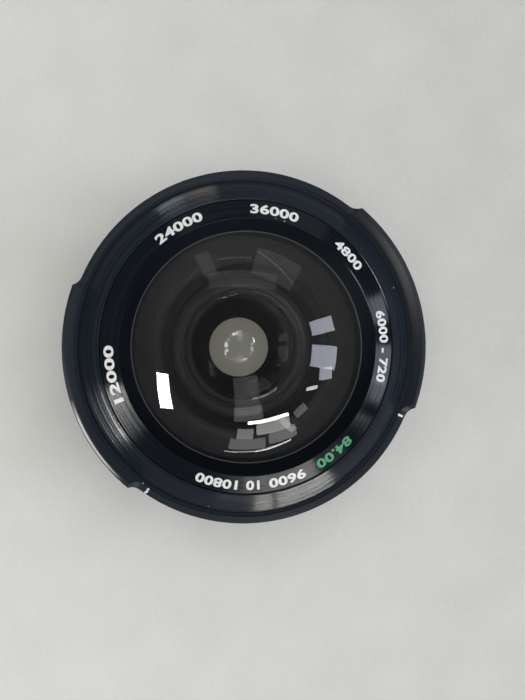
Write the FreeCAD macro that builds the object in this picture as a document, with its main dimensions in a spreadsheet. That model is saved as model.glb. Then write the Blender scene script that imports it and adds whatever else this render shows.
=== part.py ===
import FreeCAD, Part
import math
import os
import re
import Sketcher

# A screw-on wide-angle conversion lens, standing on its rear rim.
# Z is the optical axis and points to the front glass. The two shade lips lie on +Y and -Y.
# Lengths are in millimetres and angles in degrees.

DOCUMENT = FreeCAD.newDocument("conversion_lens")
TAU = 2 * math.pi

# Driving sizes, grouped by the piece that they belong to
SIZES = {
    # Shell: flared front with two shade lips, milled away between them
    "lip_height": 32.8,
    "lip_rim": 1.0,
    "lip_rounding": 0.45,
    "lip_rise": 1.8,
    "lip_flare": 1.9,
    "lip_angle": 69.0,
    "cutter_radius": 3.0,
    "valley_depth": 0.4,
    "valley_floor": 0.35,
    "bell_width": 4.85,
    "bell_rise": 1.5,
    "bell_crown": 34.0,
    "grip_step": 1.8,
    "grip_length": 11.35,
    "grip_wall": 2.0,
    "web_thickness": 6.1,
    "rib_band": 5.2,
    "rib_margin": 2.75,
    "rib_count": 54,
    "rib_slot_width": 1.7,
    "rib_slot_depth": 0.7,
    "edge_break": 0.2,
    # Front ring that carries the white figures and holds the front glass
    "glass_lip_reach": 1.7,
    "name_bevel_width": 2.7,
    "name_face_width": 4.3,
    "name_drop": 1.7,
    "name_flange": 0.9,
    "name_flange_width": 2.5,
    "name_skirt_wall": 2.3,
    "name_skirt_gap": 0.3,
    # Front element: strongly curved negative meniscus with a flat back annulus
    "front_glass_radius": 26.6,
    "front_surface": 40.0,
    "front_hollow": 20.5,
    "front_hollow_rim": 18.2,
    "front_rim_thickness": 3.44,
    "glass_pocket_depth": 2.0,
    "seat_depth": 3.7,
    "seat_ring_thickness": 0.58,
    # Second element: biconcave, with its threaded ring
    "second_radius": 16.5,
    "second_front": 90.0,
    "second_back": 30.0,
    "second_seat_width": 1.3,
    "second_thickness": 2.0,
    "second_ring_thickness": 1.2,
    "second_ring_step": 1.5,
    "second_ring_cover": 1.1,
    "second_ring_bevel": 0.7,
    "ledge_thickness": 1.0,
    # Main barrel, which carries all the glass behind the front element
    "barrel_front_wall": 1.45,
    "barrel_rear_wall": 1.95,
    "barrel_setback": 0.9,
    "flange_thickness": 4.0,
    "lock_groove_depth": 0.7,
    "barrel_thread_step": 1.1,
    "barrel_thread_length": 4.1,
    # Ridged sleeve that traps stray light between the two lens groups
    "sleeve_wall": 0.8,
    "ridge_height": 0.7,
    "ridge_count": 9,
    # Rear cell and its cemented pair
    "rear_inset": 2.0,
    "cell_flange_thickness": 1.4,
    "cell_wall": 3.2,
    "cell_lip_reach": 1.6,
    "cell_lip_thickness": 1.0,
    "cell_dish": 0.8,
    "crown_front": 36.0,
    "crown_rim_thickness": 0.7,
    "junction_surface": 30.0,
    "flint_back": 120.0,
    "flint_thickness": 1.4,
    "rear_glass_inset": 3.0,
    "rear_ring_step": 0.75,
    "rear_ring_reach": 1.4,
    # Adapter ring with the male filter thread
    "filter_thread_radius": 26.0,
    "filter_thread_length": 3.5,
    "filter_thread_wall": 2.0,
    "filter_relief_width": 0.5,
    "filter_relief_depth": 0.4,
    "adapter_wall": 2.1,
    "adapter_height": 9.8,
    "knurl_count": 84,
    "knurl_depth": 0.5,
    "knurl_margin": 0.8,
    # Grub screws between shell and barrel, and the spanner slots
    "screw_radius": 1.25,
    "screw_count": 3,
    "screw_start_angle": 30.0,
    "screw_recess": 0.25,
    "screw_socket_width": 1.3,
    "screw_socket_depth": 1.0,
    "slot_width": 1.4,
    "slot_depth": 0.4,
    # Clearances
    "thread_clearance": 0.05,
    "glass_clearance": 0.03,
    "seat_gap": 0.1,
    "shell_gap": 0.2,
    "cell_gap": 0.4,
}

# Places worked out from the driving sizes, each one written once
PLACES = {
    # Radii of the front, from the glass outwards
    "glass_pocket_radius": "front_glass_radius + seat_gap",
    "glass_lip_radius": "front_glass_radius - glass_lip_reach",
    "name_inner_radius": "glass_lip_radius + name_bevel_width",
    "name_outer_radius": "name_inner_radius + name_face_width",
    "name_thread_radius": "name_outer_radius - name_flange_width",
    "recess_radius": "name_outer_radius + thread_clearance",
    "valley_radius": "name_outer_radius + bell_width + valley_floor",
    "lip_inner_radius": "valley_radius + lip_flare",
    "lip_radius": "lip_inner_radius + lip_rim",
    # Heights of the front, from the lips inwards
    "cut_floor": "lip_height - lip_rise",
    "valley_height": "cut_floor - valley_depth",
    "bell_top": "lip_height + bell_rise",
    "name_top": "bell_top + name_drop",
    "recess_floor": "bell_top - name_flange",
    "seat_height": "lip_height - seat_depth",
    "thread_step": "seat_height + glass_pocket_depth",
    "annulus_height": "seat_height + seat_ring_thickness",
    "hollow_top": "annulus_height + front_hollow - sqrt(front_hollow ^ 2 - front_hollow_rim ^ 2)",
    "front_rim_height": "annulus_height + front_rim_thickness",
    "front_top": "front_rim_height + front_surface - sqrt(front_surface ^ 2 - front_glass_radius ^ 2)",
    "glass_lip_height":
        "front_top - front_surface + sqrt(front_surface ^ 2 - glass_lip_radius ^ 2) + glass_clearance",
    "cove_reach": "sqrt(cutter_radius ^ 2 - (cutter_radius - lip_rise) ^ 2)",
    "floor_angle": "90 - lip_angle / 2 - asin(cove_reach / lip_radius) / 1 deg",
    # Barrel and second element
    "second_ring_radius": "second_radius + second_ring_step",
    "second_ring_inner": "second_radius - second_ring_cover",
    "second_back_rim": "second_radius - second_seat_width",
    "barrel_radius": "second_ring_radius + barrel_front_wall",
    "barrel_bore": "barrel_radius - barrel_rear_wall",
    "seat_ring_inner": "barrel_radius + seat_gap + thread_clearance",
    "barrel_front": "seat_height - barrel_setback",
    "second_rim_height": "barrel_front - second_ring_thickness",
    "second_top":
        "second_rim_height - second_front + sqrt(second_front ^ 2 - second_radius ^ 2)",
    "second_bottom": "second_top - second_thickness",
    "ledge_top": "second_bottom - second_back + sqrt(second_back ^ 2 - second_back_rim ^ 2)",
    "sleeve_top": "ledge_top - ledge_thickness",
    "web_bottom": "seat_height - web_thickness",
    # Adapter ring, rear thread of the barrel, and grip
    "adapter_bore": "filter_thread_radius - filter_thread_wall",
    "barrel_thread_radius": "filter_thread_radius + barrel_thread_step",
    "adapter_radius": "barrel_thread_radius + adapter_wall",
    "barrel_thread_bottom": "adapter_height - barrel_thread_length",
    "adapter_socket_floor": "barrel_thread_bottom - seat_gap",
    "grip_radius": "adapter_radius + grip_step",
    "counterbore_radius": "grip_radius - grip_wall",
    "flange_radius": "counterbore_radius - thread_clearance",
    "flange_top": "adapter_height + flange_thickness",
    "shell_base": "adapter_height + shell_gap",
    "grip_top": "shell_base + grip_length",
    "screw_height": "adapter_height + flange_thickness / 2",
    "lock_groove_half_width": "screw_radius + thread_clearance",
    # Rear cell and cemented pair
    "cell_radius": "barrel_bore - thread_clearance",
    "cell_flange_radius": "adapter_bore - cell_gap",
    "cell_seat": "rear_inset + cell_flange_thickness",
    "pair_pocket_radius": "cell_radius - cell_wall",
    "pair_radius": "pair_pocket_radius - thread_clearance",
    "cell_clear_radius": "pair_radius - cell_lip_reach",
    "rear_ring_radius": "pair_pocket_radius + rear_ring_step",
    "rear_ring_inner": "pair_radius - rear_ring_reach",
    "flint_bottom": "rear_glass_inset",
    "junction_bottom": "flint_bottom + flint_thickness",
    "flint_rim_height": "flint_bottom + flint_back - sqrt(flint_back ^ 2 - pair_radius ^ 2)",
    "junction_rim_height":
        "junction_bottom + junction_surface - sqrt(junction_surface ^ 2 - pair_radius ^ 2)",
    "crown_rim_height": "junction_rim_height + crown_rim_thickness",
    "crown_top": "crown_rim_height + crown_front - sqrt(crown_front ^ 2 - pair_radius ^ 2)",
    "cell_lip_bottom":
        "crown_top - crown_front + sqrt(crown_front ^ 2 - cell_clear_radius ^ 2) + glass_clearance",
    "cell_front": "cell_lip_bottom + cell_lip_thickness",
    "rear_ring_top":
        "flint_bottom + flint_back - sqrt(flint_back ^ 2 - rear_ring_inner ^ 2) - glass_clearance",
    # Ridged sleeve
    "sleeve_bore": "barrel_bore - sleeve_wall",
    "sleeve_bottom": "cell_front + seat_gap",
    "ridge_pitch": "(sleeve_top - sleeve_bottom) / ridge_count",
}


def bound(expression):
    """Point each word of an expression at the sheet that holds it."""
    def sheet_name(match):
        word = match.group()
        if word in SIZES:
            return "Sizes." + word
        if word in PLACES:
            return "Places." + word
        return word
    return re.sub(r"[a-z_]+", sheet_name, expression)


def make_sheets():
    """Put the driving sizes in one sheet and the places that follow from them in another."""
    sizes = DOCUMENT.addObject("Spreadsheet::Sheet", "Sizes")
    for row, (name, size) in enumerate(SIZES.items(), start=1):
        sizes.set(f"A{row}", name)
        sizes.set(f"B{row}", str(size))
        sizes.setAlias(f"B{row}", name)
    places = DOCUMENT.addObject("Spreadsheet::Sheet", "Places")
    for row, (name, formula) in enumerate(PLACES.items(), start=1):
        places.set(f"A{row}", name)
        places.setAlias(f"B{row}", name)
        places.set(f"B{row}", "=" + bound(formula).replace("Places.", ""))
    DOCUMENT.recompute()


def value(expression):
    """Give an expression's present value as a plain number."""
    found = DOCUMENT.Sizes.evalExpression(bound(expression))
    return float(getattr(found, "Value", found))


def origin_plane(body, role):
    """Find one of a body's own three planes."""
    return next(plane for plane in body.Origin.OriginFeatures if plane.Role == role)


def new_sketch(body, name, role):
    """Start a sketch on one of the body's own planes."""
    sketch = body.newObject("Sketcher::SketchObject", name)
    sketch.AttachmentSupport = [(origin_plane(body, role), "")]
    sketch.MapMode = "FlatFace"
    return sketch


def pin_point(sketch, curve, end, across, along):
    """Tie one end of a curve to two expressions, measured from the sketch's origin."""
    for kind, expression, zero_line in (("DistanceX", across, -2), ("DistanceY", along, -1)):
        distance = value(expression)
        if abs(distance) < 1e-9:
            sketch.addConstraint(Sketcher.Constraint("PointOnObject", curve, end, zero_line))
            continue
        number = sketch.addConstraint(Sketcher.Constraint(kind, -1, 1, curve, end, distance))
        sketch.setExpression(f"Constraints[{number}]", bound(expression))


def arc_between(start, finish, centre):
    """Make the shorter arc from start to finish about a centre, and say which way it runs."""
    first = math.atan2(start[1] - centre[1], start[0] - centre[0])
    last = math.atan2(finish[1] - centre[1], finish[0] - centre[0])
    forward = (last - first) % TAU <= math.pi
    if not forward:
        first, last = last, first
    circle = Part.Circle(FreeCAD.Vector(*centre, 0), FreeCAD.Vector(0, 0, 1), math.dist(start, centre))
    return Part.ArcOfCircle(circle, first, last), forward


def crown_centre(start, finish, radius):
    """Find the centre of a crowned run: on the left of the way from start to finish."""
    middle = ((start[0] + finish[0]) / 2, (start[1] + finish[1]) / 2)
    span = math.dist(start, finish)
    rise = math.sqrt(radius ** 2 - span ** 2 / 4)
    return (middle[0] - (finish[1] - start[1]) / span * rise,
            middle[1] + (finish[0] - start[0]) / span * rise)


def draw_outline(sketch, corners):
    """Draw a closed outline. A corner is (across, along) or (across, along, run).

    The run leaves that corner: "about axis" is an arc centred on the upright axis,
    "about origin" one centred on the origin, and any other text is a crown radius.
    """
    spots = [(value(corner[0]), value(corner[1])) for corner in corners]
    ends = []
    for number, corner in enumerate(corners):
        start = spots[number]
        finish = spots[(number + 1) % len(corners)]
        run = corner[2] if len(corner) > 2 else None
        if run is None:
            line = Part.LineSegment(FreeCAD.Vector(*start, 0), FreeCAD.Vector(*finish, 0))
            curve = sketch.addGeometry(line, False)
            ends.append((curve, 1, 2))
            continue
        if run == "about axis":
            offset = (finish[0] ** 2 - start[0] ** 2) / (finish[1] - start[1])
            centre = (0.0, (start[1] + finish[1] + offset) / 2)
        elif run == "about origin":
            centre = (0.0, 0.0)
        else:
            centre = crown_centre(start, finish, value(run))
        arc, forward = arc_between(start, finish, centre)
        curve = sketch.addGeometry(arc, False)
        ends.append((curve, 1, 2) if forward else (curve, 2, 1))
    for number, (curve, first, last) in enumerate(ends):
        following, following_first, following_last = ends[(number + 1) % len(ends)]
        sketch.addConstraint(Sketcher.Constraint("Coincident", curve, last, following, following_first))
    for number, corner in enumerate(corners):
        curve, first, last = ends[number]
        pin_point(sketch, curve, first, corner[0], corner[1])
        run = corner[2] if len(corner) > 2 else None
        if run == "about axis":
            sketch.addConstraint(Sketcher.Constraint("PointOnObject", curve, 3, -2))
        elif run is not None and run != "about origin":
            number = sketch.addConstraint(Sketcher.Constraint("Radius", curve, value(run)))
            sketch.setExpression(f"Constraints[{number}]", bound(run))


def turned(label, corners):
    """Turn a closed outline, given as radius and height, about the optical axis."""
    body = DOCUMENT.addObject("PartDesign::Body", label)
    body.Label = label
    sketch = new_sketch(body, label + "_outline", "XZ_Plane")
    draw_outline(sketch, corners)
    revolution = body.newObject("PartDesign::Revolution", label + "_turned")
    revolution.Profile = (sketch, [""])
    revolution.ReferenceAxis = (sketch, ["V_Axis"])
    revolution.Angle = 360
    DOCUMENT.recompute()
    return body


def pocket(body, sketch, name, length, outward=False):
    """Cut a sketch's outline into the body, against the sketch's normal unless outward."""
    before = body.Shape.Volume
    cut = body.newObject("PartDesign::Pocket", name)
    cut.Profile = (sketch, [""])
    cut.Type = 0
    cut.setExpression("Length", bound(length))
    cut.Reversed = outward
    DOCUMENT.recompute()
    if not body.Shape.Volume < before:
        raise RuntimeError(name + " cut nothing")
    return cut


def repeat_round(body, features, name, count):
    """Repeat cuts evenly round the optical axis."""
    before = body.Shape.Volume
    axis = next(line for line in body.Origin.OriginFeatures if line.Role == "Z_Axis")
    pattern = body.newObject("PartDesign::PolarPattern", name)
    pattern.Originals = features
    pattern.Axis = (axis, [""])
    pattern.Angle = 360
    pattern.setExpression("Occurrences", bound(count))
    body.Tip = pattern
    DOCUMENT.recompute()
    if not body.Shape.Volume < before:
        raise RuntimeError(name + " cut nothing")


def flat_sketch(body, name, height):
    """Start a sketch across the optical axis at a height."""
    sketch = new_sketch(body, name, "XY_Plane")
    sketch.setExpression("AttachmentOffset.Base.z", bound(height))
    return sketch


def radial_sketch(body, name, radius, angle):
    """Start a sketch that faces outwards from the axis, at a radius and an angle from +X."""
    sketch = new_sketch(body, name, "YZ_Plane")
    sketch.AttachmentOffset = FreeCAD.Placement(
        FreeCAD.Vector(0, 0, 0), FreeCAD.Rotation(FreeCAD.Vector(0, 1, 0), value(angle)))
    sketch.setExpression("AttachmentOffset.Rotation.Angle", bound(angle))
    sketch.setExpression("AttachmentOffset.Base.x", bound(f"({radius}) * sin({angle})"))
    sketch.setExpression("AttachmentOffset.Base.z", bound(f"({radius}) * cos({angle})"))
    return sketch


def draw_circle(sketch, along, radius):
    """Draw a circle above the sketch's origin."""
    circle = Part.Circle(FreeCAD.Vector(0, value(along), 0), FreeCAD.Vector(0, 0, 1), value(radius))
    curve = sketch.addGeometry(circle, False)
    pin_point(sketch, curve, 3, "0", along)
    number = sketch.addConstraint(Sketcher.Constraint("Radius", curve, value(radius)))
    sketch.setExpression(f"Constraints[{number}]", bound(radius))


def make_front_shell():
    """Flared shell: bell front, valley, shade lips, ribbed grip, and its bores."""
    body = turned("front_shell", [
        ("counterbore_radius", "shell_base"),
        ("grip_radius - edge_break", "shell_base"),
        ("grip_radius", "shell_base + edge_break"),
        ("grip_radius", "grip_top"),
        ("lip_radius", "lip_height - lip_rounding", "lip_rounding"),
        ("lip_radius - lip_rounding", "lip_height"),
        ("lip_inner_radius", "lip_height"),
        ("valley_radius", "valley_height"),
        ("valley_radius - valley_floor", "valley_height", "bell_crown"),
        ("recess_radius + edge_break", "bell_top"),
        ("recess_radius", "bell_top - edge_break"),
        ("recess_radius", "recess_floor"),
        ("name_thread_radius + thread_clearance", "recess_floor"),
        ("name_thread_radius + thread_clearance", "thread_step"),
        ("glass_pocket_radius", "thread_step"),
        ("glass_pocket_radius", "seat_height"),
        ("barrel_radius + thread_clearance", "seat_height"),
        ("barrel_radius + thread_clearance", "web_bottom"),
        ("counterbore_radius", "web_bottom"),
    ])

    # Between the lips an end mill, held square to the axis, has cut the rim down
    floor = flat_sketch(body, "cut_down_outline", "cut_floor")
    beyond = "(lip_radius + 2 * cutter_radius)"
    draw_outline(floor, [
        ("valley_radius * cos(floor_angle)", "-valley_radius * sin(floor_angle)"),
        (f"{beyond} * cos(floor_angle)", f"-{beyond} * sin(floor_angle)", "about origin"),
        (f"{beyond} * cos(floor_angle)", f"{beyond} * sin(floor_angle)"),
        ("valley_radius * cos(floor_angle)", "valley_radius * sin(floor_angle)", "about origin"),
    ])
    cuts = [pocket(body, floor, "cut_down", "2 * lip_rise", outward=True)]
    for end, angle in (("start", "-floor_angle"), ("finish", "floor_angle")):
        cove = radial_sketch(body, f"cove_{end}_outline", "valley_radius", angle)
        draw_circle(cove, "cut_floor + cutter_radius", "cutter_radius")
        cuts.append(pocket(body, cove, f"cove_{end}", "4 * cutter_radius", outward=True))
    repeat_round(body, cuts, "cut_downs", "2")

    # Slots of the ribbed grip
    rib = flat_sketch(body, "rib_slot_outline", "grip_top - rib_margin - rib_band")
    slot_floor = "grip_radius - rib_slot_depth"
    draw_outline(rib, [
        (slot_floor, "-rib_slot_width / 2 + rib_slot_depth / 3"),
        ("grip_radius + rib_slot_depth", "-rib_slot_width / 2 - rib_slot_depth / 3"),
        ("grip_radius + rib_slot_depth", "rib_slot_width / 2 + rib_slot_depth / 3"),
        (slot_floor, "rib_slot_width / 2 - rib_slot_depth / 3"),
    ])
    rib_slot = pocket(body, rib, "rib_slot", "rib_band", outward=True)
    repeat_round(body, [rib_slot], "rib_slots", "rib_count")

    # Holes for the grub screws
    hole = radial_sketch(body, "screw_hole_outline", "counterbore_radius - seat_gap", "screw_start_angle")
    draw_circle(hole, "screw_height", "screw_radius + thread_clearance")
    screw_hole = pocket(body, hole, "screw_hole", "2 * grip_wall", outward=True)
    repeat_round(body, [screw_hole], "screw_holes", "screw_count")


def make_name_ring():
    """Sloping front ring: its skirt screws into the shell and its inner lip holds the glass."""
    turned("name_ring", [
        ("glass_lip_radius", "glass_lip_height"),
        ("name_thread_radius - name_skirt_wall", "glass_lip_height"),
        ("name_thread_radius - name_skirt_wall", "thread_step + name_skirt_gap"),
        ("name_thread_radius", "thread_step + name_skirt_gap"),
        ("name_thread_radius", "recess_floor"),
        ("name_outer_radius", "recess_floor"),
        ("name_outer_radius", "bell_top - edge_break"),
        ("name_outer_radius - edge_break", "bell_top"),
        ("name_inner_radius + edge_break", "name_top"),
        ("name_inner_radius", "name_top - edge_break"),
        ("glass_lip_radius", "glass_lip_height + seat_gap"),
    ])


def make_front_element():
    """Negative meniscus: dome in front, deep hollow and flat annulus behind."""
    turned("front_element", [
        ("0", "hollow_top", "about axis"),
        ("front_hollow_rim", "annulus_height"),
        ("front_glass_radius", "annulus_height"),
        ("front_glass_radius", "front_rim_height", "about axis"),
        ("0", "front_top"),
    ])


def make_front_seat_ring():
    """Thin ring between the shell's shoulder and the glass."""
    turned("front_seat_ring", [
        ("seat_ring_inner", "seat_height"),
        ("front_glass_radius", "seat_height"),
        ("front_glass_radius", "annulus_height"),
        ("seat_ring_inner", "annulus_height"),
    ])


def make_second_element():
    """Biconcave element with a flat edge annulus behind."""
    turned("second_element", [
        ("0", "second_bottom", "about axis"),
        ("second_back_rim", "ledge_top"),
        ("second_radius", "ledge_top"),
        ("second_radius", "second_rim_height", "about axis"),
        ("0", "second_top"),
    ])


def cut_spanner_slots(body, name, top, radius, downward):
    """Cut two facing spanner slots across a ring's face."""
    slots = flat_sketch(body, name + "_outline", top)
    draw_outline(slots, [
        (f"-({radius}) - slot_width", "-slot_width / 2"),
        (f"{radius} + slot_width", "-slot_width / 2"),
        (f"{radius} + slot_width", "slot_width / 2"),
        (f"-({radius}) - slot_width", "slot_width / 2"),
    ])
    pocket(body, slots, name, "slot_depth", outward=not downward)


def make_second_element_ring():
    """Threaded ring that holds the second element, bevelled towards it."""
    body = turned("second_element_ring", [
        ("second_ring_inner", "second_rim_height"),
        ("second_ring_radius", "second_rim_height"),
        ("second_ring_radius", "barrel_front"),
        ("second_ring_inner + second_ring_bevel", "barrel_front"),
        ("second_ring_inner", "barrel_front - second_ring_bevel"),
    ])
    cut_spanner_slots(body, "second_ring_slots", "barrel_front", "second_ring_radius", downward=True)


def make_main_barrel():
    """Barrel: long tube, locking flange inside the shell, and the rear thread."""
    groove_radius = "flange_radius - lock_groove_depth"
    turned("main_barrel", [
        ("barrel_bore", "cell_seat"),
        ("barrel_radius", "cell_seat"),
        ("barrel_radius", "barrel_thread_bottom"),
        ("barrel_thread_radius - edge_break", "barrel_thread_bottom"),
        ("barrel_thread_radius", "barrel_thread_bottom + edge_break"),
        ("barrel_thread_radius", "adapter_height"),
        ("flange_radius", "adapter_height"),
        ("flange_radius", "screw_height - lock_groove_half_width"),
        (groove_radius, "screw_height - lock_groove_half_width"),
        (groove_radius, "screw_height + lock_groove_half_width"),
        ("flange_radius", "screw_height + lock_groove_half_width"),
        ("flange_radius", "flange_top"),
        ("barrel_radius", "flange_top"),
        ("barrel_radius", "barrel_front"),
        ("second_ring_radius + thread_clearance", "barrel_front"),
        ("second_ring_radius + thread_clearance", "second_rim_height"),
        ("second_radius + thread_clearance", "second_rim_height"),
        ("second_radius + thread_clearance", "ledge_top"),
        ("second_back_rim", "ledge_top"),
        ("second_back_rim", "sleeve_top"),
        ("barrel_bore", "sleeve_top"),
    ])


def make_light_trap_sleeve():
    """Sleeve with saw-tooth ridges inside."""
    corners = [
        ("cell_radius", "sleeve_bottom"),
        ("cell_radius", "sleeve_top"),
    ]
    for ridge in range(int(SIZES["ridge_count"])):
        corners.append(("sleeve_bore - ridge_height", f"sleeve_top - {ridge} * ridge_pitch"))
        if ridge + 1 < SIZES["ridge_count"]:
            corners.append(("sleeve_bore", f"sleeve_top - {ridge + 1} * ridge_pitch"))
    corners.append(("sleeve_bore", "sleeve_bottom"))
    turned("light_trap_sleeve", corners)


def make_rear_cell():
    """Cell of the cemented pair: front lip, pocket, and dished rear flange."""
    turned("rear_cell", [
        ("rear_ring_radius + thread_clearance", "rear_inset + cell_dish"),
        ("cell_flange_radius - edge_break - cell_dish", "rear_inset"),
        ("cell_flange_radius", "rear_inset"),
        ("cell_flange_radius", "cell_seat"),
        ("cell_radius", "cell_seat"),
        ("cell_radius", "cell_front"),
        ("cell_clear_radius", "cell_front"),
        ("cell_clear_radius", "cell_lip_bottom"),
        ("pair_pocket_radius", "cell_lip_bottom"),
        ("pair_pocket_radius", "rear_ring_top"),
        ("rear_ring_radius + thread_clearance", "rear_ring_top"),
    ])


def make_rear_pair():
    """Cemented pair: a thick crown glass in front and a thin flint glass behind it."""
    turned("rear_crown_element", [
        ("0", "junction_bottom", "about axis"),
        ("pair_radius", "junction_rim_height"),
        ("pair_radius", "crown_rim_height", "about axis"),
        ("0", "crown_top"),
    ])
    turned("rear_flint_element", [
        ("0", "flint_bottom", "about axis"),
        ("pair_radius", "flint_rim_height"),
        ("pair_radius", "junction_rim_height", "about axis"),
        ("0", "junction_bottom"),
    ])


def make_rear_retaining_ring():
    """Threaded ring behind the cemented pair."""
    ring_bottom = "rear_inset + cell_dish"
    body = turned("rear_retaining_ring", [
        ("rear_ring_inner", ring_bottom),
        ("rear_ring_radius", ring_bottom),
        ("rear_ring_radius", "rear_ring_top"),
        ("rear_ring_inner", "rear_ring_top"),
    ])
    cut_spanner_slots(body, "rear_ring_slots", ring_bottom, "rear_ring_radius", downward=False)


def make_adapter_ring():
    """Adapter ring: male filter thread behind, knurled rim, socket for the barrel's thread."""
    thread_top = "filter_thread_length"
    body = turned("adapter_ring", [
        ("adapter_bore", "0"),
        ("filter_thread_radius - edge_break * 2", "0"),
        ("filter_thread_radius", "edge_break * 2"),
        ("filter_thread_radius", f"{thread_top} - filter_relief_width"),
        ("filter_thread_radius - filter_relief_depth", f"{thread_top} - filter_relief_width"),
        ("filter_thread_radius - filter_relief_depth", thread_top),
        ("adapter_radius - edge_break", thread_top),
        ("adapter_radius", f"{thread_top} + edge_break"),
        ("adapter_radius", "adapter_height - edge_break"),
        ("adapter_radius - edge_break", "adapter_height"),
        ("barrel_thread_radius + thread_clearance", "adapter_height"),
        ("barrel_thread_radius + thread_clearance", "adapter_socket_floor"),
        ("adapter_bore", "adapter_socket_floor"),
    ])
    notch = flat_sketch(body, "knurl_notch_outline", f"{thread_top} + knurl_margin")
    draw_outline(notch, [
        ("adapter_radius - knurl_depth", "0"),
        ("adapter_radius + knurl_depth", "-2 * knurl_depth"),
        ("adapter_radius + knurl_depth", "2 * knurl_depth"),
    ])
    knurl_length = f"adapter_height - {thread_top} - 2 * knurl_margin"
    knurl_notch = pocket(body, notch, "knurl_notch", knurl_length, outward=True)
    repeat_round(body, [knurl_notch], "knurl_notches", "knurl_count")


def make_set_screws():
    """Grub screws with hexagon sockets, in the shell's holes, tips in the barrel's groove."""
    tip = "(flange_radius - lock_groove_depth)"
    shank_length = f"(grip_radius - screw_recess - {tip})"
    screws = []
    for number in range(int(SIZES["screw_count"])):
        angle = f"(screw_start_angle + {number} * 360 / screw_count)"
        shank = DOCUMENT.addObject("Part::Cylinder", f"screw_{number}_shank")
        shank.setExpression("Radius", bound("screw_radius"))
        shank.setExpression("Height", bound(shank_length))
        socket = DOCUMENT.addObject("Part::Prism", f"screw_{number}_socket")
        socket.Polygon = 6
        socket.setExpression("Circumradius", bound("screw_socket_width / 2 / cos(30)"))
        socket.setExpression("Height", bound("screw_socket_depth + screw_recess"))
        socket.setExpression("Placement.Base.z", bound(f"{shank_length} - screw_socket_depth"))
        screw = DOCUMENT.addObject("Part::Cut", f"screw_{number}")
        screw.Base = shank
        screw.Tool = socket
        # Stand the screw up along +X, then swing it round to its angle
        turn = FreeCAD.Rotation(FreeCAD.Vector(0, 0, 1), value(angle))
        lay = FreeCAD.Rotation(FreeCAD.Vector(0, 1, 0), 90)
        screw.Placement = FreeCAD.Placement(FreeCAD.Vector(0, 0, 0), turn * lay)
        screw.setExpression("Placement.Base.x", bound(f"{tip} * cos({angle})"))
        screw.setExpression("Placement.Base.y", bound(f"{tip} * sin({angle})"))
        screw.setExpression("Placement.Base.z", bound("screw_height"))
        screws.append(screw)
    group = DOCUMENT.addObject("Part::Compound", "set_screws")
    group.Label = "set_screws"
    group.Links = screws


NODES = [
    "front_shell",
    "name_ring",
    "front_element",
    "front_seat_ring",
    "second_element",
    "second_element_ring",
    "main_barrel",
    "light_trap_sleeve",
    "rear_cell",
    "rear_crown_element",
    "rear_flint_element",
    "rear_retaining_ring",
    "adapter_ring",
    "set_screws",
]

make_sheets()
make_front_shell()
make_name_ring()
make_front_element()
make_front_seat_ring()
make_second_element()
make_second_element_ring()
make_main_barrel()
make_light_trap_sleeve()
make_rear_cell()
make_rear_pair()
make_rear_retaining_ring()
make_adapter_ring()
make_set_screws()
DOCUMENT.recompute()

for thing in DOCUMENT.Objects:
    if "Invalid" in thing.State or "Error" in thing.State:
        raise RuntimeError(f"{thing.Label} failed: {thing.State}")

pieces = {thing.Label: thing for thing in DOCUMENT.Objects if thing.Label in NODES}
for node in NODES:
    shape = pieces[node].Shape
    if shape.isNull() or not shape.isValid():
        raise RuntimeError(f"{node} has no valid shape")

os.makedirs("parts", exist_ok=True)
for node in NODES:
    shape = pieces[node].Shape
    shape.exportStep(f"parts/{node}.step")
    print(f"{node}: {len(shape.Solids)} solid, {shape.Volume:.1f} mm3")
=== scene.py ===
# %% [markdown]
# # A wide-angle conversion lens on a sheet of paper
#
# The part is a screw-on lens in front of another lens: turned black metal, thick curved glass,
# and a ring of white numbers round the glass. Its metal pieces come ready as a fixed frame, in metres,
# standing on the origin with the optical axis along Z. This script gives them their finish, makes the
# glass and the threads as fine meshes, sets the numbers on their ring, and lights it all like a small
# studio.

# %% Tools
import math

import bmesh
import bpy
from mathutils import Matrix, Vector


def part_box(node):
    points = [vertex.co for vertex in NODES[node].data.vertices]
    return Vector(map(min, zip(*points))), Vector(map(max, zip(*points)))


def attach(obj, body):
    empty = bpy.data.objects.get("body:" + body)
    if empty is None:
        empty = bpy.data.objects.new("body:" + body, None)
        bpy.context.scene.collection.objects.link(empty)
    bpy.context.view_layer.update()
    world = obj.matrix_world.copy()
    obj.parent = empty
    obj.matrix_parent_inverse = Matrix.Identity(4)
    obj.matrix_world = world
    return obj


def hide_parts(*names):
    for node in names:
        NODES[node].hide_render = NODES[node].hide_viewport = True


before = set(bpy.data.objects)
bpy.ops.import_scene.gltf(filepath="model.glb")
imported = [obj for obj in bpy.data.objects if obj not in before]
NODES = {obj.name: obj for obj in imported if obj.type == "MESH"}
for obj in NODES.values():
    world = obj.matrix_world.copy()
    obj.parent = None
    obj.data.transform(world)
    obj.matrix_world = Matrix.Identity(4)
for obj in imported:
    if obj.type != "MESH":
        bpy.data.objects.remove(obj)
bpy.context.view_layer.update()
MM = 0.001
TAU = 2 * math.pi

# %% [markdown]
# ## Small helpers for node trees
#
# Every material and every Geometry Nodes tree is a graph of small nodes. Placing each one takes four or
# five lines, which would hide what the graph does, so short helpers do it: one adds a node and fills its
# inputs by name, and the others add what comes often, such as a plain sum, the length of a vector or a
# noise. An input is filled with a number, or linked when it gets another node's output.


# %% Node helpers
def fill(tree, socket, source):
    """Give an input a value, or link it when it gets another node's output."""
    if isinstance(source, bpy.types.NodeSocket):
        tree.links.new(source, socket)
    else:
        socket.default_value = source


def add(tree, kind, inputs=None, **settings):
    """Add one node, set its options and fill its inputs."""
    node = tree.nodes.new(kind)
    for name, setting in settings.items():
        setattr(node, name, setting)
    for name, source in (inputs or {}).items():
        fill(tree, node.inputs[name], source)
    return node


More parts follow.
